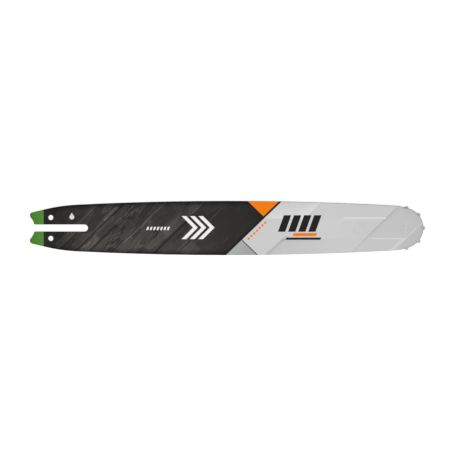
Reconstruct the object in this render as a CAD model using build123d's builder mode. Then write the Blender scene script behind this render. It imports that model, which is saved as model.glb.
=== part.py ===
from build123d import *
import os
from math import acos, atan2, cos, pi, radians, sin, sqrt, tan

# Chainsaw guide bar: two side plates welded to a core plate, with a sprocket turning in the nose.
# Millimetres. X runs along the bar from tail to nose, Y across it and Z through the plates.
# The origin lies midway between the two tensioner holes, in the face that the bar lies on.

# Outline of the side plates
drive_to_nose = 440.9  # from the saw's drive sprocket to the nose sprocket, axis to axis
drive_setback = 36.2  # from the tensioner holes back to the saw's drive sprocket
drive_clearance = 17.7  # radius that the tail leaves free around the drive sprocket
crown_width = 62.4  # widest place, across the rails
crown_x = 203.0
nose_radius = 23.4
rail_over_nose = 1.9  # the rails, carried on, would pass this far outside the nose circle
shoulder_radius = 62.0  # blends each rail into the nose
tail_width = 46.3  # across the rails at the tensioner holes
tail_slope = 13.4  # degrees
tail_corner_x = 11.4  # where the tail's slope and the rail, carried on, would meet
tail_blend_radius = 190.0
tail_tip_round = 3.7
slot_mouth_round = 0.7

# Clamping slot and tensioner holes
slot_width = 8.0
slot_end_x = 42.7
tensioner_hole_diameter = 5.8
tensioner_hole_spacing = 24.0
oil_passage_width = 1.6  # from each tensioner hole to the groove, through the core plate

# Plates
side_thickness = 1.4
core_thickness = 1.35  # also the width of the chain groove
groove_depth = 6.5
edge_bevel = 0.5  # around the outer faces

# Windows that lighten the core plate
window_count = 6
window_rib = 10.0
window_rim = 8.0  # to the floor of the groove
window_end_wall = 24.0  # to the slot and to the sprocket's pocket
window_corner = 6.0

# Nose sprocket
tooth_count = 9
tooth_tip_radius = 25.7
tooth_tip_round = 2.3
gullet_radius = 16.5  # floor of the gullets, from the sprocket's axis
gullet_round = 4.2
sprocket_side_gap = 0.075
pocket_gap = 0.8  # from the tooth tips to the core plate

# Nose bearing
hub_radius = 7.5
roller_diameter = 2.0
roller_gap = 0.2  # between neighbouring rollers
roller_chamfer = 0.1
bearing_clearance = 0.03  # on each side of a roller
cover_thickness = 0.15
cover_overlap = 2.0  # beyond the sprocket's bore
cover_side_gap = 0.4  # around a cover, in the sprocket's recess
cover_face_gap = 0.05

# Nose rivets
rivet_count = 4
rivet_radius = 1.5
rivet_head_radius = 2.3
rivet_head_angle = 90.0  # degrees
rivet_circle_radius = 4.3
rivet_clearance = 0.02

# Places that follow from the sizes above
drive_centre = Vector(-drive_setback, 0)
nose_centre = drive_centre + Vector(drive_to_nose, 0)
nose_x = nose_centre.X
core_bottom = side_thickness
core_top = core_bottom + core_thickness
bar_thickness = core_top + side_thickness
middle_plane = Plane.XY.offset(bar_thickness / 2)
tail_point = Vector(0, tail_width / 2)
tail_direction = Vector(cos(radians(tail_slope)), sin(radians(tail_slope)))
tail_normal = Vector(-tail_direction.Y, tail_direction.X)
tail_corner = tail_point + tail_direction * (tail_corner_x / tail_direction.X)
crown = Vector(crown_x, crown_width / 2)
standing = (Align.CENTER, Align.CENTER, Align.MIN)
hanging = (Align.CENTER, Align.CENTER, Align.MAX)


def towards(start, end, distance):
    """Point at a distance from start, on the ray through end."""
    return start + (end - start).normalized() * distance


def circles_meet(centre_a, radius_a, centre_b, radius_b):
    """Point where two circles cross, the one nearer to the tail."""
    apart = centre_b - centre_a
    along = (radius_a**2 - radius_b**2 + apart.length**2) / (2 * apart.length)
    foot = towards(centre_a, centre_b, along)
    side = Vector(-apart.Y, apart.X).normalized() * sqrt(radius_a**2 - along**2)
    return min(foot + side, foot - side, key=lambda point: point.X)


def slope_meets_circle(inset, centre, radius):
    """Point where the tail's slope, moved in by the inset, leaves a circle towards the nose."""
    start = tail_point - tail_normal * inset
    middle = start + tail_direction * (centre - start).dot(tail_direction)
    return middle + tail_direction * sqrt(radius**2 - (middle - centre).length ** 2)


def centre_below_crown(point):
    """Centre of the rail arc that is level at the crown and passes through a point."""
    run = point.X - crown.X
    drop = crown.Y - point.Y
    return crown - Vector(0, (run**2 + drop**2) / (2 * drop))


def arc_about(centre, start, end):
    """Arc from start to end, the short way round its centre."""
    middle = towards(centre, (start + end) * 0.5, (start - centre).length)
    ThreePointArc(start, middle, end)


def save(piece, label):
    """Label a finished piece and write it to its own file."""
    piece.part.label = label
    export_step(piece.part, f"parts/{label}.step")


os.makedirs("parts", exist_ok=True)

# The rail: a front and a rear arc that meet at the crown, with arcs that blend them into the nose
# and into the tail's slope, and the round tips of the tail
front_centre = centre_below_crown(nose_centre + Vector(0, nose_radius + rail_over_nose))
front_radius = crown.Y - front_centre.Y
rear_centre = centre_below_crown(tail_corner)
rear_radius = crown.Y - rear_centre.Y
shoulder_centre = circles_meet(
    nose_centre, shoulder_radius - nose_radius, front_centre, front_radius - shoulder_radius
)
blend_centre = slope_meets_circle(tail_blend_radius, rear_centre, rear_radius - tail_blend_radius)
tip_centre = slope_meets_circle(tail_tip_round, drive_centre, drive_clearance + tail_tip_round)


def rail_height(x):
    """Distance from the bar's middle line to the rail at x, between the blends."""
    centre, radius = (front_centre, front_radius) if x > crown_x else (rear_centre, rear_radius)
    return centre.Y + sqrt(radius**2 - (x - crown_x) ** 2)


def draw_rail(inset):
    """Upper rail from the nose to the start of the tail's slope, moved in by the inset."""
    nose_start = nose_centre + Vector(nose_radius - inset, 0)
    nose_end = towards(shoulder_centre, nose_centre, shoulder_radius - inset)
    shoulder_end = towards(front_centre, shoulder_centre, front_radius - inset)
    crown_point = crown - Vector(0, inset)
    rail_end = towards(rear_centre, blend_centre, rear_radius - inset)
    slope_start = blend_centre + tail_normal * (tail_blend_radius - inset)
    arc_about(nose_centre, nose_start, nose_end)
    arc_about(shoulder_centre, nose_end, shoulder_end)
    arc_about(front_centre, shoulder_end, crown_point)
    arc_about(rear_centre, crown_point, rail_end)
    arc_about(blend_centre, rail_end, slope_start)
    return slope_start


# Outline of the side plates, with the clamping slot and the tensioner holes
with BuildSketch() as plate_outline:
    with BuildLine():
        slope_start = draw_rail(0)
        slope_end = tip_centre + tail_normal * tail_tip_round
        tip_end = towards(tip_centre, drive_centre, tail_tip_round)
        notch_middle = drive_centre + Vector(drive_clearance, 0)
        Line(slope_start, slope_end)
        arc_about(tip_centre, slope_end, tip_end)
        arc_about(drive_centre, tip_end, notch_middle)
        mirror(about=Plane.XZ)
    make_face()
    with Locations((slot_end_x - slot_width / 2, 0)):
        Circle(slot_width / 2, mode=Mode.SUBTRACT)
        Rectangle(
            slot_end_x + drive_setback,
            slot_width,
            align=(Align.MAX, Align.CENTER),
            mode=Mode.SUBTRACT,
        )
    mouth_corners = plate_outline.vertices().filter_by(
        lambda corner: corner.X < 0 and abs(corner.Y) < slot_width
    )
    fillet(mouth_corners, slot_mouth_round)
    with PolarLocations(tensioner_hole_spacing / 2, 2, start_angle=90):
        Circle(tensioner_hole_diameter / 2, mode=Mode.SUBTRACT)

# Side plate in front, bevelled around its outer face, with countersunk rivet holes in the nose
with BuildPart() as side_plate_front:
    with BuildSketch(Plane.XY.offset(core_top)):
        add(plate_outline.sketch)
    extrude(amount=side_thickness)
    outer_face = side_plate_front.faces().sort_by(Axis.Z)[-1]
    chamfer(outer_face.outer_wire().edges(), edge_bevel)
    with Locations((nose_x, 0, bar_thickness)):
        with PolarLocations(rivet_circle_radius, rivet_count):
            CounterSinkHole(
                rivet_radius + rivet_clearance,
                rivet_head_radius + rivet_clearance,
                depth=side_thickness,
                counter_sink_angle=rivet_head_angle,
            )
save(side_plate_front, "side_plate_front")

# Side plate behind, the same plate turned over
with BuildPart() as side_plate_back:
    mirror(side_plate_front.part, about=middle_plane)
save(side_plate_back, "side_plate_back")

# Core plate: inset from the rails by the depth of the groove, with a pocket for the sprocket
pocket_radius = tooth_tip_radius + pocket_gap
window_start_x = slot_end_x + window_end_wall
window_stop_x = nose_x - pocket_radius - window_end_wall
window_pitch = (window_stop_x - window_start_x + window_rib) / window_count
window_height = 2 * (
    min(rail_height(window_start_x), rail_height(window_stop_x)) - groove_depth - window_rim
)
with BuildPart() as core_plate:
    with BuildSketch(Plane.XY.offset(core_bottom)):
        with BuildLine():
            slope_start = draw_rail(groove_depth)
            slope_stop = slope_start - tail_direction * (slope_start.X + drive_setback)
            Polyline(slope_start, slope_stop, (slope_stop.X, 0))
            mirror(about=Plane.XZ)
        make_face()
        add(plate_outline.sketch, mode=Mode.INTERSECT)
        with PolarLocations(tensioner_hole_spacing / 2, 2, start_angle=90):
            Rectangle(
                tail_width / 2,
                oil_passage_width,
                align=(Align.MIN, Align.CENTER),
                mode=Mode.SUBTRACT,
            )
        with Locations(nose_centre):
            Circle(pocket_radius, mode=Mode.SUBTRACT)
        with Locations(((window_start_x + window_stop_x) / 2, 0)):
            with GridLocations(window_pitch, 0, window_count, 1):
                RectangleRounded(
                    window_pitch - window_rib, window_height, window_corner, mode=Mode.SUBTRACT
                )
    extrude(amount=core_thickness)
save(core_plate, "core_plate")

# One tooth of the sprocket with half a gullet on each side: a round tip, straight flanks that
# touch the tip and the gullet, and the gullet's round floor
tip_round_centre = Vector(tooth_tip_radius - tooth_tip_round, 0)
half_pitch = pi / tooth_count
gullet_direction = Vector(cos(half_pitch), sin(half_pitch))
gullet_centre = gullet_direction * (gullet_radius + gullet_round)
tip_to_gullet = gullet_centre - tip_round_centre
flank_turn = atan2(tip_to_gullet.Y, tip_to_gullet.X) - acos(
    (tooth_tip_round + gullet_round) / tip_to_gullet.length
)
flank_normal = Vector(cos(flank_turn), sin(flank_turn))
with BuildSketch() as tooth:
    with BuildLine():
        flank_top = tip_round_centre + flank_normal * tooth_tip_round
        flank_foot = gullet_centre - flank_normal * gullet_round
        gullet_floor = gullet_direction * gullet_radius
        arc_about(tip_round_centre, Vector(tooth_tip_radius, 0), flank_top)
        Line(flank_top, flank_foot)
        arc_about(gullet_centre, flank_foot, gullet_floor)
        Line(gullet_floor, (0, 0))
        mirror(about=Plane.XZ)
    make_face()

# Nose sprocket, recessed on both faces for the bearing covers
sprocket_bottom = core_bottom + sprocket_side_gap
sprocket_top = core_top - sprocket_side_gap
sprocket_bore = hub_radius + roller_diameter + 2 * bearing_clearance
cover_radius = sprocket_bore + cover_overlap
recess_radius = cover_radius + cover_side_gap
recess_depth = cover_thickness + cover_face_gap - sprocket_side_gap
with BuildPart() as nose_sprocket:
    with BuildSketch(Plane((nose_x, 0, sprocket_bottom))):
        with PolarLocations(0, tooth_count):
            add(tooth.sketch)
        Circle(sprocket_bore, mode=Mode.SUBTRACT)
    extrude(amount=sprocket_top - sprocket_bottom)
    with Locations((nose_x, 0, sprocket_bottom)):
        Cylinder(recess_radius, recess_depth, align=standing, mode=Mode.SUBTRACT)
    with Locations((nose_x, 0, sprocket_top)):
        Cylinder(recess_radius, recess_depth, align=hanging, mode=Mode.SUBTRACT)
save(nose_sprocket, "nose_sprocket")

# Hub of the nose bearing, clamped between the covers
hub_bottom = core_bottom + cover_thickness
hub_thickness = core_thickness - 2 * cover_thickness
with BuildPart() as bearing_hub:
    with BuildSketch(Plane((nose_x, 0, hub_bottom))):
        Circle(hub_radius)
        with PolarLocations(rivet_circle_radius, rivet_count):
            Circle(rivet_radius + rivet_clearance, mode=Mode.SUBTRACT)
    extrude(amount=hub_thickness)
save(bearing_hub, "bearing_hub")

# Covers that close the bearing on both faces
with BuildPart() as bearing_cover_front:
    with BuildSketch(Plane((nose_x, 0, core_top - cover_thickness))):
        Circle(cover_radius)
        with PolarLocations(rivet_circle_radius, rivet_count):
            Circle(rivet_radius + rivet_clearance, mode=Mode.SUBTRACT)
    extrude(amount=cover_thickness)
save(bearing_cover_front, "bearing_cover_front")
with BuildPart() as bearing_cover_back:
    mirror(bearing_cover_front.part, about=middle_plane)
save(bearing_cover_back, "bearing_cover_back")

# Rivets through the side plates, covers and hub, with heads flush in the side plates
rivet_head_depth = (rivet_head_radius - rivet_radius) / tan(radians(rivet_head_angle / 2))
with BuildPart() as nose_rivets:
    with Locations((nose_x, 0, 0)):
        with PolarLocations(rivet_circle_radius, rivet_count):
            Cylinder(rivet_radius, bar_thickness, align=standing)
            Cone(rivet_head_radius, rivet_radius, rivet_head_depth, align=standing)
    with Locations((nose_x, 0, bar_thickness)):
        with PolarLocations(rivet_circle_radius, rivet_count):
            Cone(rivet_radius, rivet_head_radius, rivet_head_depth, align=hanging)
save(nose_rivets, "nose_rivets")

# Rollers between the hub and the sprocket
roller_bottom = hub_bottom + cover_face_gap
roller_length = hub_thickness - 2 * cover_face_gap
roller_circle_radius = hub_radius + bearing_clearance + roller_diameter / 2
roller_count = int(2 * pi * roller_circle_radius / (roller_diameter + roller_gap))
for number in range(roller_count):
    turn = 2 * pi * number / roller_count
    roller_x = nose_x + roller_circle_radius * cos(turn)
    roller_y = roller_circle_radius * sin(turn)
    with BuildPart(Plane((roller_x, roller_y, roller_bottom))) as bearing_roller:
        Cylinder(roller_diameter / 2, roller_length, align=standing)
        chamfer(bearing_roller.edges().filter_by(GeomType.CIRCLE), roller_chamfer)
    save(bearing_roller, f"bearing_roller_{number + 1:02d}")
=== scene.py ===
import bpy
import math
import numpy as np
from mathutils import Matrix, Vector


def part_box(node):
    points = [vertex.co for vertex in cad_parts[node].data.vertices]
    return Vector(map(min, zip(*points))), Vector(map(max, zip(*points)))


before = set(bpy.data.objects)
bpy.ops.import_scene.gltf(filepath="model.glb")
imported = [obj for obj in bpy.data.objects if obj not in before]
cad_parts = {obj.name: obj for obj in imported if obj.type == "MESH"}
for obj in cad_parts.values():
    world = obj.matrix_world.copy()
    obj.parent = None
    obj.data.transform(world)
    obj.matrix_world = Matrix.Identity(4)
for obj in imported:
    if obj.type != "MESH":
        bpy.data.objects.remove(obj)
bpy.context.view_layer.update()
mmPerMetre = 1000.0  # the frame is in metres, the finishes are in mm


def boxInMm(node):  # lowest and highest corner of a CAD node
    return [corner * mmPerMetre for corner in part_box(node)]


plateHigh = boxInMm("side_plate_front")[1]
hubLow, hubHigh = boxInMm("bearing_hub")
noseAxis = (hubLow + hubHigh) / 2  # the sprocket turns about this point
noseRadius = plateHigh.x - noseAxis.x
crownHalf = plateHigh.y  # half the bar's width


# Node helpers: a field is a number that varies over a surface, and sums of fields become Math nodes

softEdge = 0.12    # mm over which a printed edge blends
screenGamma = 2.2  # a tone as seen on a screen, raised to this, is a linear one
mixSockets = {"FLOAT": (2, 3, 0), "RGBA": (6, 7, 2)}  # of a Mix node: lower, upper, result


class Field:
    def __init__(self, tree, socket):
        self.tree = tree
        self.socket = socket

    def calc(self, operation, *others, clamp=False):
        node = self.tree.nodes.new("ShaderNodeMath")
        node.operation = operation
        node.use_clamp = clamp
        for entry, value in zip(node.inputs, (self, *others)):
            feed(entry, value)
        return Field(self.tree, node.outputs[0])

    def clamped(self):
        return self.calc("ADD", 0.0, clamp=True)

    def __add__(self, other):
        return self.calc("ADD", other)

    def __sub__(self, other):
        return self.calc("SUBTRACT", other)

    def __rsub__(self, other):
        return self.calc("MULTIPLY_ADD", -1.0, other)

    def __mul__(self, other):
        return self.calc("MULTIPLY", other)

    def __abs__(self):
        return self.calc("ABSOLUTE")

    __radd__ = __add__


def feed(entry, value):  # a field is linked, a plain number or colour is set on the socket
    if isinstance(value, Field):
        value.tree.links.new(value.socket, entry)
    else:
        entry.default_value = value


def paintColour(rgb):  # 0 to 255 as seen on a screen, to the linear colour that shaders use
    part = np.array(rgb) / 255
    linear = np.where(part <= 0.04045, part / 12.92, ((part + 0.055) / 1.055) ** 2.4)
    return (*linear.tolist(), 1.0)


def newMaterial(name):
    material = bpy.data.materials.new(name)
    material.use_nodes = True
    tree = material.node_tree
    return material, tree, tree.nodes["Principled BSDF"]


def surfacePoint(tree):  # x, y and z of the surface in mm, from Object coordinates
    place = tree.nodes.new("ShaderNodeTexCoord")
    split = tree.nodes.new("ShaderNodeSeparateXYZ")
    tree.links.new(place.outputs["Object"], split.inputs[0])
    return [Field(tree, out) * mmPerMetre for out in split.outputs]


def joined(first, second, third=0.0):  # three fields or numbers as one vector socket
    node = first.tree.nodes.new("ShaderNodeCombineXYZ")
    for entry, value in zip(node.inputs, (first, second, third)):
        feed(entry, value)
    return node.outputs[0]


def grain(point, noise):  # noise from -0.5 to 0.5: a scale for each coordinate, detail, roughness
    *scales, detail, rough = noise
    tree = point[0].tree
    node = tree.nodes.new("ShaderNodeTexNoise")
    node.inputs["Scale"].default_value = 1.0
    node.inputs["Detail"].default_value = detail
    node.inputs["Roughness"].default_value = rough
    scaled = [value * scale for value, scale in zip(point, scales)]
    tree.links.new(joined(*scaled), node.inputs["Vector"])
    return Field(tree, node.outputs[0]) - 0.5


def flatGrain(first, second, noise):  # the same in a plane, with a seed for the third scale
    return grain((first, second, 1.0), noise)


def cells(first, second):
    node = first.tree.nodes.new("ShaderNodeTexVoronoi")
    node.voronoi_dimensions = "2D"
    node.inputs["Scale"].default_value = 1.0
    first.tree.links.new(joined(first, second), node.inputs["Vector"])
    return node


def slabTone(first, second):  # one random number for each blocky cell, from -0.5 to 0.5
    node = cells(first, second)
    node.distance = "CHEBYCHEV"
    split = first.tree.nodes.new("ShaderNodeSeparateColor")
    first.tree.links.new(node.outputs["Color"], split.inputs[0])
    return Field(first.tree, split.outputs[0]) - 0.5


def cracks(first, second, width):  # 1 on the lines between cells, falling to 0 at the width
    node = cells(first, second)
    node.feature = "DISTANCE_TO_EDGE"
    return near(Field(first.tree, node.outputs["Distance"]), width)


def ramp(value, points):  # straight lines through (value, result) pairs
    low, high = points[0][0], points[-1][0]
    node = value.tree.nodes.new("ShaderNodeValToRGB")
    stops = node.color_ramp.elements
    while len(stops) < len(points):
        stops.new(0.5)
    for stop, (where, result) in zip(stops, points):
        stop.position = (where - low) / (high - low)
        stop.color = (result, result, result, 1.0)
    feed(node.inputs[0], (value - low) * (1 / (high - low)))
    return Field(value.tree, node.outputs[0])


def inside(distance, soft=softEdge):  # 1 where the distance is below 0
    return distance.calc("MULTIPLY_ADD", -1 / soft, 0.5, clamp=True)


def beyond(distance, soft=softEdge):  # 1 where the distance is above 0
    return distance.calc("MULTIPLY_ADD", 1 / soft, 0.5, clamp=True)


def near(distance, reach):  # 1 up to the line, falling to 0 at the reach
    return distance.calc("MULTIPLY_ADD", -1 / reach, 1.0, clamp=True)


def fade(distance, reach):  # the same, but 0 before the line
    return beyond(distance) * near(distance, reach)


def stripe(value, middle, width, soft=softEdge):  # 1 in a band about the middle
    return inside(abs(value - middle) - width / 2, soft)


def dashes(value, row):  # a row of bands
    span = row["pitch"] * row["count"]
    whole = stripe(value, row["start"] + span / 2, span)
    step = (value - row["start"]).calc("WRAP", row["pitch"], 0.0)
    return whole * stripe(step, row["width"] / 2 + softEdge, row["width"])


def radius(dx, dy):
    return (dx * dx + dy * dy).calc("SQRT")


def largest(first, *others):
    for other in others:
        first = first.calc("MAXIMUM", other)
    return first


def rays(tree, *kinds):  # 1 for rays of each kind
    light = tree.nodes.new("ShaderNodeLightPath")
    return [Field(tree, light.outputs[kind]) for kind in kinds]


def mixed(kind, under, mask, value):
    lower, upper, result = mixSockets[kind]
    node = mask.tree.nodes.new("ShaderNodeMix")
    node.data_type = kind
    feed(node.inputs[0], mask)
    feed(node.inputs[lower], under)
    feed(node.inputs[upper], value)
    return Field(mask.tree, node.outputs[result])


def over(under, mask, value):  # a value laid over another where the mask is 1
    return mixed("FLOAT", under, mask, value)


def paintOver(under, mask, colour):  # the same for colours
    return mixed("RGBA", under, mask, colour)


def greyPaint(tone, tint):  # from a tone, 0 to 1 as seen on a screen
    node = tone.tree.nodes.new("ShaderNodeVectorMath")
    node.operation = "SCALE"
    feed(node.inputs[0], tint)
    feed(node.inputs["Scale"], tone.calc("POWER", screenGamma))
    return Field(tone.tree, node.outputs[0])


def relief(shader, height, depth):  # bump of a height field, depth in mm
    node = height.tree.nodes.new("ShaderNodeBump")
    node.inputs["Distance"].default_value = depth / mmPerMetre
    feed(node.inputs["Height"], height)
    height.tree.links.new(node.outputs[0], shader.inputs["Normal"])


# Printed faces: one print over both outer faces and the flush rivets, bare ground steel elsewhere
# Lengths are mm in the bar's frame, tones run from 0 (black) to 1 (white), light and shade change a tone
# Slanted shapes use two coordinates: along grows with the planks, up to the right,
# and across runs nearly square to it and falls to the right
# Soft values are the mm over which an edge, an end or a step blends

printLook = {
    "lean": 1.038,                # slanted lines run this far in x for each mm in y
    "crownX": 203.0,              # the bar is widest here
    "railBow": 1 / 6894,          # the rail drops by this times the square of the run from there
    "fieldSplit": -162.07,        # across: planks before it, pale facets after it
    "outlineWidth": 2.2,          # dark line before the split
    "orangeLeft": 179.25,         # along
    "cornerEdge": 142.4,          # along: the grey corner lies before it
    "cornerLineWidth": 1.1,
    "cornerLineSoft": 0.2,
    "cornerBlend": [(-14, 1.0), (0, 0.0)],  # by the distance to the split
    "greenEnd": -8.2,             # x
    "greenBlend": [(-24, 0.0), (-9, 1.0)],  # by x
    "colours": {
        "outline": (11, 10, 9),
        "orange": (243, 124, 0),
        "cornerLine": (60, 60, 60),
        "cornerGrey": (172, 174, 172),
        "cornerDeep": (160, 164, 164),
        "greenTip": (60, 119, 22),  # the green lightens from the tail's tips to its end
        "greenRoot": (82, 131, 49),
        "white": (240, 239, 236),
        "ink": (20, 19, 18),
    },
}

plankLook = {
    # tone, and how strong the grain is, by x
    "tone": [(-25, 0.12), (12, 0.13), (26, 0.175), (46, 0.24), (60, 0.228), (130, 0.22), (150, 0.20),
             (200, 0.187), (240, 0.170)],
    "grain": [(-25, 0.5), (40, 0.9), (60, 1.0), (120, 1.0), (140, 0.6), (190, 0.35), (262, 0.20)],
    "slope": 0.0009,              # darker towards the upper rail, for each mm
    "darkest": 0.03,
    "tint": (1.07, 0.985, 0.90),
    # painted shade along the rails, and a darkening towards the split
    "railShade": 0.150,
    "railReach": 8.0,
    "splitShade": 0.045,
    "splitReach": 30.0,
    "wander": 1.8,                # how far the planks' edges wander and fray, in mm
    "fray": 0.9,
    "slabScale": (0.036, 0.125),  # cells for each mm along and across
    "lipShift": (0.012, 0.07),    # a lip is a slab less the same slab moved by this much of a cell
    "chipScale": (0.15, 0.70),
    "chipFray": (1.2, 0.5),       # how jagged the chips are along and across, in cells
    "chipRim": 1.25,
    "gapWidth": 0.22,
    # how much each part of the grain adds to the tone
    "parts": {"slabs": 0.090, "lips": 0.120, "streaks": 0.085, "fibres": 0.130, "blotches": 0.120,
              "chips": 0.160, "gaps": -0.090},
    # noises: scale along and across, seed, detail, roughness
    "noises": {
        "wander": (0.05, 0.09, 3.0, 2.0, 0.5),
        "fray": (0.45, 0.9, 9.0, 3.0, 0.6),
        "streaks": (0.05, 0.9, 7.0, 4.0, 0.62),
        "fibres": (0.10, 2.6, 17.0, 5.0, 0.7),
        "blotches": (0.16, 0.33, 11.0, 4.0, 0.65),
        "speckle": (0.55, 1.3, 5.0, 4.0, 0.7),
    },
    # bands: across, width, along from, along to, change of tone
    "bands": [
        (-18, 0.8, -10, 55, 0.12),
        (-22, 4.5, -12, 16, 0.05),
        (-25, 1.2, -10, 17, -0.07),
        (-35.5, 3.5, 49, 71, 0.11),
        (-38.5, 1.4, 0, 80, -0.11),
        (-44.5, 7.5, 5, 30, 0.08),
        (-50, 2.5, 13, 55, -0.08),
        (-47.5, 1.0, 57, 85, 0.09),
        (-60.5, 1.6, 29, 46, 0.09),
        (-68, 1.3, 29, 49, -0.10),
        (-70.5, 0.8, 46, 114, 0.13),
        (-85, 4.5, 49, 58, 0.07),
        (-90, 0.8, 50, 82, -0.07),
        (-96, 9.5, 86, 137, 0.05),
        (-100.5, 0.8, 124, 144, 0.12),
        (-103, 2.2, 58, 124, -0.09),
        (-120, 1.0, 83, 151, 0.09),
        (-130, 15.0, 84, 102, 0.05),
        (-149, 1.0, 111, 134, 0.06),
    ],
    "bandSoft": 0.35,
    "bandEndSoft": 3.0,
    # ovals where the char has broken up into chips: along, across, half length, half width
    "chipZones": [
        (5, -30, 8, 4),
        (17, -43, 13, 4.5),
        (34, -63, 13, 7),
        (55, -56, 12, 6),
        (56, -88, 9, 5),
        (76, -52, 17, 8),
        (81, -89, 9, 5),
        (95, -108, 13, 6),
        (118, -110, 9, 5),
        (119, -149, 8, 3),
    ],
}


def plankNoise(name, along, across):
    return flatGrain(along, across, plankLook["noises"][name])


def chipOval(along, across, zone):  # 1 at the middle, falling to 0 just past the rim
    alongMid, acrossMid, halfLength, halfWidth = zone
    u = (along - alongMid) * (1 / halfLength)
    v = (across - acrossMid) * (1 / halfWidth)
    return (plankLook["chipRim"] - u * u - v * v).clamped()


def plankGrain(along, across, bent, fray):  # random slabs with lit and dark lips, fine grain, cracked chips
    slabAlong = along * plankLook["slabScale"][0]
    slabAcross = bent * plankLook["slabScale"][1]
    slabs = slabTone(slabAlong, slabAcross)
    moved = slabTone(slabAlong + plankLook["lipShift"][0], slabAcross + plankLook["lipShift"][1])
    chipped = largest(*(chipOval(along, across, zone) for zone in plankLook["chipZones"]))
    chipAlong = along * plankLook["chipScale"][0] + fray * plankLook["chipFray"][0]
    chipAcross = bent * plankLook["chipScale"][1] + fray * plankLook["chipFray"][1]
    parts = {
        "slabs": slabs,
        "lips": moved - slabs,
        "streaks": plankNoise("streaks", along, bent),
        "fibres": plankNoise("fibres", along, across),
        "blotches": plankNoise("blotches", along, bent),
        "chips": (slabTone(chipAlong, chipAcross) + plankNoise("speckle", along, bent)) * chipped,
        "gaps": cracks(chipAlong, chipAcross, plankLook["gapWidth"]) * chipped,
    }
    return sum(part * plankLook["parts"][name] for name, part in parts.items())


def plankBands(along, bent):
    tone = 0
    for middle, width, start, end, change in plankLook["bands"]:
        sides = stripe(bent, middle, width, plankLook["bandSoft"])
        ends = stripe(along, (start + end) / 2, end - start, plankLook["bandEndSoft"])
        tone = sides * ends * change + tone
    return tone


def charredPlanks(x, y, along, across, inset):
    fray = plankNoise("fray", along, across)
    wander = plankNoise("wander", along, across)
    bent = across + wander * plankLook["wander"] + fray * plankLook["fray"]
    tone = ramp(x, plankLook["tone"]) - y * plankLook["slope"] + plankBands(along, bent)
    tone = tone + plankGrain(along, across, bent, fray) * ramp(x, plankLook["grain"])
    # painted shade: the planks darken towards the rails; they also darken towards the split
    rail = near(inset, plankLook["railReach"])
    toSplit = across - printLook["fieldSplit"]
    tone = tone - rail * rail * plankLook["railShade"]
    tone = tone - near(toSplit, plankLook["splitReach"]) * plankLook["splitShade"]
    return greyPaint(largest(tone, plankLook["darkest"]), plankLook["tint"])


# pale facets: painted shade at the rims, strongest along the upper rail and round the nose, and faint rings
# over a spot weld and the rivets the weld's ring is painted shade of a shallow dent, dark on two opposite
# sides; the rivets' rings are witness lines with painted shade on their lower side
facetLook = {
    "tone": [(190, 0.786), (250, 0.792), (262, 0.798), (315, 0.804), (345, 0.797), (362, 0.788),
             (396, 0.788), (416, 0.776), (430, 0.776)],
    "tint": (1.0, 1.0, 1.0),
    "mottle": 0.010,
    "mottleNoise": (0.5, 0.5, 21.0, 3.0, 0.5),
    "weld": {"x": 353.7, "y": -0.6, "radius": 5.6, "width": 1.0, "soft": 0.8, "shade": 0.036,
             "arcs": [(0.55, 0.0), (0.80, 1.0)]},
    "rivets": {"count": 4, "radius": 2.3, "width": 0.8, "soft": 0.4, "shade": 0.034},
    "rim": {"reach": 1.3, "upper": 0.150, "lower": 0.035, "soft": 30.0},
    "noseRim": {"start": 400.0, "soft": 10.0, "reach": 8.0, "shade": 0.026},
}

# each crease is a step of tone with a light or a dark edge that fades; lists are by x, and ends by y
creaseLook = {
    "upper": {"y": 11.4, "glow": 0.052, "glowStart": -0.5, "reach": 16.0,
              "drop": [(290, 0.008), (345, 0.006), (375, 0.0)], "dropSoft": 3.0, "width": 1.9, "soft": 0.5,
              "light": [(335, 0.0), (338, 0.050), (356, 0.074), (366, 0.078), (392, 0.066)]},
    "lower": {"y": -12.2, "drop": [(262, 0.038), (292, 0.026), (312, 0.019), (335, 0.012), (352, 0.004)],
              "dropSoft": 1.0, "shade": [(262, 0.055), (305, 0.03), (318, 0.0)], "reach": 5.0,
              "noseSoft": 0.6},
    "fold": {"across": -193.8, "tilt": 0.03, "glow": 0.036, "glowReach": 11.0, "glowFoot": 5.0,
             "glowSoft": 9.0, "shade": 0.075, "shadeReach": 4.5, "shadeTop": -9.0, "shadeSoft": 2.0},
    "glint": {"across": -225.6, "width": 1.8, "soft": 0.9, "middle": 7.0, "height": 8.0, "endSoft": 4.0,
              "light": 0.016},
    "ridge": {"across": -259.44, "tilt": -0.0236, "width": 1.5, "soft": 0.6, "shade": 0.060,
              "ends": [(-25, 0.45), (-12, 0.9), (8, 1.0), (24, 0.4)], "drop": 0.018, "topDrop": 0.007,
              "topSoft": 7.0, "lowRise": 0.009, "sideShade": 0.026, "sideReach": 5.5, "sideFoot": -4.0,
              "sideSoft": 12.0},
    "noseLow": {"middle": 387.5, "length": 38.0, "endSoft": 2.0, "lift": 0.15, "width": 1.1, "soft": 0.4,
                "light": 0.062},
    "noseFold": {"across": -292.3, "tilt": 0.0, "width": 1.3, "lowerWidth": 4.1, "soft": 0.4,
                 "light": 0.040, "drop": 0.019},
    "noseLine": {"x": 408.0, "width": 1.2, "soft": 0.5, "middle": -0.8, "height": 17.5, "endSoft": 3.0,
                 "light": 0.027},
}


def toCrease(crease, y, across):  # distance to a slanted crease, which may tilt a little from the others
    return across + y * crease["tilt"] - crease["across"]


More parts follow.
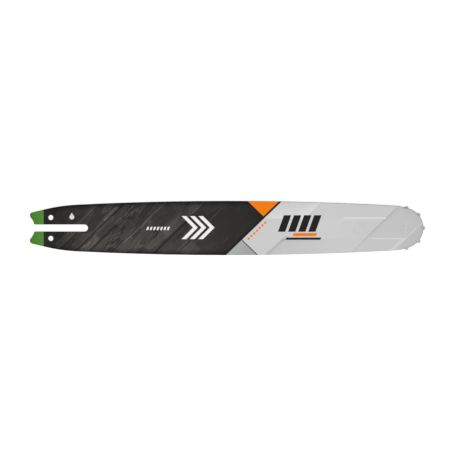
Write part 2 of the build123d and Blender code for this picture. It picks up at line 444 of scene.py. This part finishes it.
def bodyCreases(x, y, across):
    upper, lower, fold, glint = (creaseLook[name] for name in ("upper", "lower", "fold", "glint"))
    above = y - upper["y"]
    below = lower["y"] - y
    toFold = toCrease(fold, y, across)
    # before the fold the upper facet brightens towards its crease and towards the fold
    glow = fade(above - upper["glowStart"], upper["reach"]) * upper["glow"]
    foldGlow = fade(toFold, fold["glowReach"]) * beyond(y - fold["glowFoot"], fold["glowSoft"])
    tone = (glow + foldGlow * fold["glow"]) * beyond(toFold)
    # after it the outer facets are darker, most of all close under the lower crease and beside the fold
    drop = beyond(above, upper["dropSoft"]) * ramp(x, upper["drop"])
    drop = drop + beyond(below, lower["dropSoft"]) * ramp(x, lower["drop"])
    drop = drop + fade(below, lower["reach"]) * ramp(x, lower["shade"])
    foldShade = fade(toFold * -1.0, fold["shadeReach"]) * inside(y - fold["shadeTop"], fold["shadeSoft"])
    tone = tone - drop * inside(toFold) - foldShade * fold["shade"]
    # a light line on the upper crease up to the ridge, and a glint where it starts
    line = stripe(above, 0.0, upper["width"], upper["soft"]) * ramp(x, upper["light"])
    tone = tone + line * beyond(toCrease(creaseLook["ridge"], y, across))
    spot = stripe(across, glint["across"], glint["width"], glint["soft"])
    return tone + spot * stripe(y, glint["middle"], glint["height"], glint["endSoft"]) * glint["light"]


def noseCreases(x, y, across):
    ridge, low, fold, line = (creaseLook[name] for name in ("ridge", "noseLow", "noseFold", "noseLine"))
    above = y - creaseLook["upper"]["y"]
    below = creaseLook["lower"]["y"] - y
    toRidge = toCrease(ridge, y, across)
    toFold = toCrease(fold, y, across)
    isLow = beyond(below, creaseLook["lower"]["noseSoft"])
    # the ridge is a dark line, and the nose beyond it is darker, most of all close beside its upper part
    drop = ridge["drop"] + beyond(above, ridge["topSoft"]) * ridge["topDrop"] - isLow * ridge["lowRise"]
    side = fade(toRidge * -1.0, ridge["sideReach"]) * beyond(y - ridge["sideFoot"], ridge["sideSoft"])
    tone = side * -ridge["sideShade"] - inside(toRidge) * drop
    ridgeLine = stripe(toRidge, 0.0, ridge["width"], ridge["soft"])
    tone = tone - ridgeLine * ramp(y, ridge["ends"]) * ridge["shade"]
    # light lines on the lower crease, on the last fold, which is wider lower down, and across the nose
    lowLine = stripe(below + low["lift"], 0.0, low["width"], low["soft"])
    tone = tone + lowLine * stripe(x, low["middle"], low["length"], low["endSoft"]) * low["light"]
    width = isLow * (fold["lowerWidth"] - fold["width"]) + fold["width"]
    tone = tone + inside(abs(toFold - width * 0.5) - width * 0.5, fold["soft"]) * fold["light"]
    tone = tone - inside(toFold, fold["soft"]) * fold["drop"]
    noseLine = stripe(x, line["x"], line["width"], line["soft"])
    return tone + noseLine * stripe(y, line["middle"], line["height"], line["endSoft"]) * line["light"]


def weldDentShade(x, y):
    # painted shade of a shallow dent over the spot weld, dark on two opposite sides
    weld = facetLook["weld"]
    dx = x - weld["x"]
    dy = y - weld["y"]
    ring = stripe(radius(dx, dy), weld["radius"], weld["width"], weld["soft"])
    slant = abs(dx + dy) * (1 / math.hypot(weld["radius"], weld["radius"]))  # 1 on the rising diagonal
    return ring * ramp(slant, weld["arcs"]) * weld["shade"]


def rivetRingsShadedBelow(x, y):
    # witness rings round the flush rivet heads, with painted shade on their lower side only
    rivets = facetLook["rivets"]
    low, high = boxInMm("nose_rivets")
    circle = (high.x - low.x) / 2 - rivets["radius"]
    rings = []
    for number in range(rivets["count"]):
        turn = 2 * math.pi * number / rivets["count"]
        dx = x - (noseAxis.x + circle * math.cos(turn))
        dy = y - (noseAxis.y + circle * math.sin(turn))
        shadedLowerSide = (0.5 - dy * (0.5 / rivets["radius"])).clamped()
        ring = stripe(radius(dx, dy), rivets["radius"], rivets["width"], rivets["soft"])
        rings.append(ring * shadedLowerSide)
    return largest(*rings) * rivets["shade"]


def rimShade(x, y, inset):
    # painted shade: darker along the rims, much more at the upper rail than the lower, and towards the
    # nose's rim
    rim, noseRim = facetLook["rim"], facetLook["noseRim"]
    strength = rim["lower"] + beyond(y, rim["soft"]) * (rim["upper"] - rim["lower"])
    noseEdge = near(inset, noseRim["reach"]) * beyond(x - noseRim["start"], noseRim["soft"])
    return near(inset, rim["reach"]) * strength + noseEdge * noseEdge * noseRim["shade"]


def paleFacets(x, y, across, inset):
    mottle = flatGrain(x, y, facetLook["mottleNoise"]) * facetLook["mottle"]
    tone = ramp(x, facetLook["tone"]) + mottle + bodyCreases(x, y, across) + noseCreases(x, y, across)
    tone = tone - weldDentShade(x, y) - rivetRingsShadedBelow(x, y) - rimShade(x, y, inset)
    return greyPaint(tone, facetLook["tint"])


# plain marks: chevrons and ticks in white, slanted bars in ink, dashes in orange, a drop
# a row gives the middle and the height in y, or in across for the dashes
markLook = {
    "slant": 0.36,                # bars and ticks lean this far in x for each mm in y
    "chevrons": {"start": 163.4, "pitch": 9.6, "width": 5.4, "count": 3, "row": (0.5, 26.4)},
    "ticks": {"start": 110.4, "pitch": 3.95, "width": 2.1, "count": 7, "row": (-0.5, 3.7)},
    "bars": {"start": 262.4, "pitch": 11.6, "width": 8.4, "count": 4, "row": (5.2, 19.0)},
    "underBar": {"middle": 294.6, "length": 27.0, "row": (-7.6, 3.6)},
    "baseLine": {"middle": 294.6, "length": 40.0, "row": (-12.2, 2.6)},
    "dashes": {"start": 147.4, "pitch": 4.4, "width": 2.7, "count": 7, "row": (-166.5, 2.3)},
    "drop": {"x": 24.2, "y": 12.5, "radius": 2.7, "tip": 5.1, "splay": 30.0, "soft": 0.2, "cover": 0.80},
}


def dropMark(x, y):  # a round with a pointed cap, whose two straight sides meet at the tip
    drop = markLook["drop"]
    splay = math.radians(drop["splay"])  # of the sides, off upright
    dx = abs(x - drop["x"])
    dy = y - drop["y"]
    bulb = radius(dx, dy) - drop["radius"]
    sides = dx * math.cos(splay) + (dy - drop["tip"]) * math.sin(splay)
    cap = largest(sides, drop["radius"] * math.sin(splay) - dy)
    return inside(bulb.calc("MINIMUM", cap), drop["soft"]) * drop["cover"]


def slantedRow(x, y, bars):
    return dashes(x - y * markLook["slant"], bars) * stripe(y, *bars["row"])


def slantedBar(x, y, bar):
    return stripe(x - y * markLook["slant"], bar["middle"], bar["length"]) * stripe(y, *bar["row"])


def whiteMarks(x, y):
    chevrons = markLook["chevrons"]
    bent = x + abs(y - chevrons["row"][0])
    arrows = dashes(bent, chevrons) * stripe(y, *chevrons["row"])
    return largest(arrows, slantedRow(x, y, markLook["ticks"]), dropMark(x, y))


def inkMarks(x, y):
    return largest(slantedRow(x, y, markLook["bars"]), slantedBar(x, y, markLook["baseLine"]))


def orangeMarks(x, y, along, across):
    row = markLook["dashes"]
    return largest(dashes(along, row) * stripe(across, *row["row"]), slantedBar(x, y, markLook["underBar"]))


def edgeDistance(x, y):  # mm in from the outline: the rail, or the round of the nose past its axis
    run = x - printLook["crownX"]
    toRail = crownHalf - run * run * printLook["railBow"] - abs(y)
    noseRun = largest(x - noseAxis.x, 0.0)
    toNose = noseRadius - radius(noseRun, y)
    return toRail.calc("MINIMUM", toNose + inside(noseRun) * crownHalf * 2)


def printedPaint(x, y):
    colours = {name: paintColour(rgb) for name, rgb in printLook["colours"].items()}
    lean = printLook["lean"]
    along = (x + y * lean) * (1 / math.hypot(1, lean))
    across = (y * lean - x) * (1 / math.hypot(1, lean))
    inset = edgeDistance(x, y)

    # fields first: charred planks, the dark line, pale facets, the grey corner
    split = across - printLook["fieldSplit"]
    pale = inside(split)
    colour = charredPlanks(x, y, along, across, inset)
    colour = paintOver(colour, inside(split - printLook["outlineWidth"]), colours["outline"])
    colour = paintOver(colour, pale, paleFacets(x, y, across, inset))
    corner = along - printLook["cornerEdge"]
    grey = paintOver(colours["cornerGrey"], ramp(split, printLook["cornerBlend"]), colours["cornerDeep"])
    colour = paintOver(colour, pale * inside(corner), grey)
    cornerLine = stripe(corner, 0.0, printLook["cornerLineWidth"], printLook["cornerLineSoft"])
    colour = paintOver(colour, pale * cornerLine, colours["cornerLine"])

    # then the marks, the orange wedge and the green tail
    colour = paintOver(colour, whiteMarks(x, y), colours["white"])
    colour = paintOver(colour, inkMarks(x, y), colours["ink"])
    wedge = beyond(along - printLook["orangeLeft"]) * beyond(split - printLook["outlineWidth"])
    colour = paintOver(colour, largest(wedge, orangeMarks(x, y, along, across)), colours["orange"])
    green = paintOver(colours["greenTip"], ramp(x, printLook["greenBlend"]), colours["greenRoot"])
    return paintOver(colour, inside(x - printLook["greenEnd"]), green)


faceLook = {
    "paintWrap": 0.58,            # paint reaches this far over the edge, across the bevel
    "paintWaver": 0.10,
    "paintSoft": 0.03,
    "paintRough": 0.40,
    "peel": 0.06,
    "gloss": 0.14,
    "bareTone": 0.66,
    "bareTint": (1.0, 0.995, 0.98),
    "bareRough": 0.34,
    "lines": 0.24,
    "lineRough": 0.22,
    "lineHeight": 0.5,
    "patches": 0.10,
    "depth": 0.012,
    # noises: scale in x, y and z (a seed for the waver), detail, roughness
    "noises": {
        "lines": (0.05, 0.4, 14.0, 3.0, 0.6),
        "patches": (0.06, 0.2, 0.3, 2.0, 0.5),
        "waver": (0.9, 0.9, 2.0, 3.0, 0.5),
        "peel": (0.7, 0.7, 0.7, 2.0, 0.5),
    },
}


def printedFace(name):
    material, tree, shader = newMaterial(name)
    x, y, z = surfacePoint(tree)
    noises = faceLook["noises"]
    middle = plateHigh.z / 2
    lift = z - middle
    paint = printedPaint(x, y * lift.calc("SIGN"))  # the print reads the same way round on the back

    # bare steel where the paint ends: fine grinding lines along the rail
    lines = grain((x, y, z), noises["lines"])
    patches = grain((x, y, z), noises["patches"])
    bareTone = faceLook["bareTone"] + lines * faceLook["lines"] + patches * faceLook["patches"]
    bare = greyPaint(bareTone, faceLook["bareTint"])
    waver = flatGrain(x, y, noises["waver"]) * faceLook["paintWaver"]
    painted = inside(middle - faceLook["paintWrap"] - abs(lift) + waver, faceLook["paintSoft"])
    peel = grain((x, y, z), noises["peel"])
    bareRough = faceLook["bareRough"] + lines * faceLook["lineRough"]
    paintRough = faceLook["paintRough"] + peel * faceLook["peel"]
    feed(shader.inputs["Base Color"], paintOver(bare, painted, paint))
    feed(shader.inputs["Metallic"], 1.0 - painted)
    feed(shader.inputs["Roughness"], over(bareRough, painted, paintRough))
    shader.inputs["Specular IOR Level"].default_value = faceLook["gloss"]
    relief(shader, over(lines * faceLook["lineHeight"], painted, peel), faceLook["depth"])
    return material


# Bare steels: metal with clouds and fine lines, straight along x or turned round the nose axis

steelLooks = {
    "hardened_steel": {"tone": 0.68, "lines": 0.10, "clouds": 0.10, "tint": (1.0, 0.995, 0.985),
                       "rough": 0.36, "depth": 0.010, "turned": False},
    "core_steel": {"tone": 0.47, "lines": 0.10, "clouds": 0.14, "tint": (1.0, 0.98, 0.95),
                   "rough": 0.42, "depth": 0.010, "turned": False},
    "bearing_steel": {"tone": 0.76, "lines": 0.06, "clouds": 0.05, "tint": (1.0, 1.0, 0.99),
                      "rough": 0.22, "depth": 0.004, "turned": True},
}
steelGrain = {
    "lineRough": 0.2,
    "cloudRough": 0.12,
    # noises: three scales, detail, roughness; turned lines are finest in the radius
    "straight": (0.06, 5.0, 9.0, 3.0, 0.6),
    "turned": (9.0, 0.05, 0.05, 3.0, 0.6),
    "clouds": (0.11, 0.11, 0.3, 3.0, 0.5),
}


def steelFinish(name, look):
    material, tree, shader = newMaterial(name)
    x, y, z = surfacePoint(tree)
    if look["turned"]:
        dx = x - noseAxis.x
        dy = y - noseAxis.y
        lines = grain((radius(dx, dy), dx, dy), steelGrain["turned"])
    else:
        lines = grain((x, y, z), steelGrain["straight"])
    clouds = grain((x, y, z), steelGrain["clouds"])
    tone = look["tone"] + lines * look["lines"] + clouds * look["clouds"]
    rough = look["rough"] + lines * steelGrain["lineRough"] + clouds * steelGrain["cloudRough"]
    feed(shader.inputs["Base Color"], greyPaint(tone, look["tint"]))
    feed(shader.inputs["Roughness"], rough)
    shader.inputs["Metallic"].default_value = 1.0
    relief(shader, lines, look["depth"])
    return material


finishes = {name: steelFinish(name + "_finish", look) for name, look in steelLooks.items()}
finishes["printed_steel"] = printedFace("printed_steel_finish")
finishes["painted_rivets"] = finishes["printed_steel"]
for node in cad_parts.values():
    for entry in node.material_slots:
        entry.material = finishes[entry.material.name.split(".")[0]]
print("finishes: %d slots on %d nodes" % (len(finishes), len(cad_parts)))


# Floor: a flat sheet just under the bar, white to the camera and in reflections, open from below
# Dull rays and shadow rays pass through it, so that the underside isn't left in the dark

floorLook = {
    "half": 30.0,                 # metres
    "drop": 0.0002,
    "cells": 2,
    "colour": (156, 156, 156),
    "rough": 0.9,
    "gloss": 0.1,
    "lift": 0.80,                 # own light, as the camera and reflections see it
}


def floorMesh():
    # z is constant over a square grid of two parameters, u and v
    count = floorLook["cells"] + 1
    u, v = np.meshgrid(np.linspace(-1, 1, count), np.linspace(-1, 1, count))
    points = np.stack([u * floorLook["half"], v * floorLook["half"], u * 0 - floorLook["drop"]], axis=-1)
    first = (np.arange(count - 1)[:, None] * count + np.arange(count - 1)).ravel()
    faces = first[:, None] + np.array([0, 1, count + 1, count])
    mesh = bpy.data.meshes.new("floor")
    mesh.from_pydata(points.reshape(-1, 3).tolist(), [], faces.tolist())
    return mesh


def floorPaper():
    material, tree, shader = newMaterial("floor_paper")
    seen = largest(*rays(tree, "Is Camera Ray", "Is Glossy Ray", "Is Transmission Ray"))
    shader.inputs["Base Color"].default_value = paintColour(floorLook["colour"])
    shader.inputs["Roughness"].default_value = floorLook["rough"]
    shader.inputs["Specular IOR Level"].default_value = floorLook["gloss"]
    shader.inputs["Emission Color"].default_value = (1, 1, 1, 1)
    feed(shader.inputs["Emission Strength"], seen * floorLook["lift"])
    side = tree.nodes.new("ShaderNodeNewGeometry")
    below = Field(tree, side.outputs["Backfacing"])
    clear = tree.nodes.new("ShaderNodeBsdfTransparent")
    mix = tree.nodes.new("ShaderNodeMixShader")
    feed(mix.inputs[0], largest(below, *rays(tree, "Is Diffuse Ray", "Is Shadow Ray")))
    tree.links.new(shader.outputs[0], mix.inputs[1])
    tree.links.new(clear.outputs[0], mix.inputs[2])
    tree.links.new(mix.outputs[0], tree.nodes["Material Output"].inputs["Surface"])
    return material


floor = bpy.data.objects.new("floor", floorMesh())
floor.data.materials.append(floorPaper())
bpy.context.scene.collection.objects.link(floor)
print("floor laid %.1f mm under the bar" % (floorLook["drop"] * mmPerMetre))


# Light: even white surroundings and two large soft lamps, in metres and watts

studio = {
    "fill": 0.50,                 # what the surroundings give to dull surfaces
    "ceiling": 0.85,              # reflections see a dimmer ceiling straight above
    "roof": [(0.7, 0.0), (0.95, 1.0)],  # where it starts and is full, by the ray's rise
    "aim": (0.2, 0.0, 0.0),
    "lamps": [
        {"name": "key", "place": (0.0, -1.6, 2.4), "size": 1.6, "power": 42.0},
        {"name": "side", "place": (-1.8, 0.2, 1.9), "size": 1.4, "power": 12.0},
    ],
}


def makeSurroundings():
    world = bpy.data.worlds.new("studio")
    bpy.context.scene.world = world
    world.use_nodes = True
    tree = world.node_tree
    back = tree.nodes["Background"]
    back.inputs["Color"].default_value = (1, 1, 1, 1)
    place = tree.nodes.new("ShaderNodeTexCoord")
    split = tree.nodes.new("ShaderNodeSeparateXYZ")
    tree.links.new(place.outputs["Generated"], split.inputs[0])
    roof = ramp(Field(tree, split.outputs[2]), studio["roof"])
    glossy = 1.0 - roof * (1 - studio["ceiling"])
    isGlossy, isSeen, isClear = rays(tree, "Is Glossy Ray", "Is Camera Ray", "Is Transmission Ray")
    strength = over(studio["fill"], isGlossy, glossy)
    feed(back.inputs["Strength"], over(strength, largest(isSeen, isClear), 1.0))


def makeLamp(lamp):
    data = bpy.data.lights.new(lamp["name"], "AREA")
    data.shape = "DISK"
    data.size = lamp["size"]
    data.energy = lamp["power"]
    item = bpy.data.objects.new(lamp["name"], data)
    item.location = lamp["place"]
    item.rotation_euler = (Vector(studio["aim"]) - item.location).to_track_quat("-Z", "Y").to_euler()
    item.visible_camera = False
    bpy.context.scene.collection.objects.link(item)


makeSurroundings()
for lamp in studio["lamps"]:
    makeLamp(lamp)
print("light: %d lamps" % len(studio["lamps"]))


# Camera: straight down on the printed face, with a long lens

view = {
    "middle": (0.2036, 0.00002),  # metres, as the width that the picture shows
    "width": 0.52385,
    "lens": 250.0,
    "sensor": 36.0,
    "clipEnd": 200.0,
}


def makeCamera():
    data = bpy.data.cameras.new("camera")
    data.lens = view["lens"]
    data.sensor_width = view["sensor"]
    data.clip_end = view["clipEnd"]
    camera = bpy.data.objects.new("camera", data)
    distance = view["width"] * view["lens"] / view["sensor"]
    camera.location = (*view["middle"], plateHigh.z / mmPerMetre + distance)
    bpy.context.scene.collection.objects.link(camera)
    bpy.context.scene.camera = camera


makeCamera()
bpy.context.scene.view_settings.view_transform = "Standard"
print("camera set")
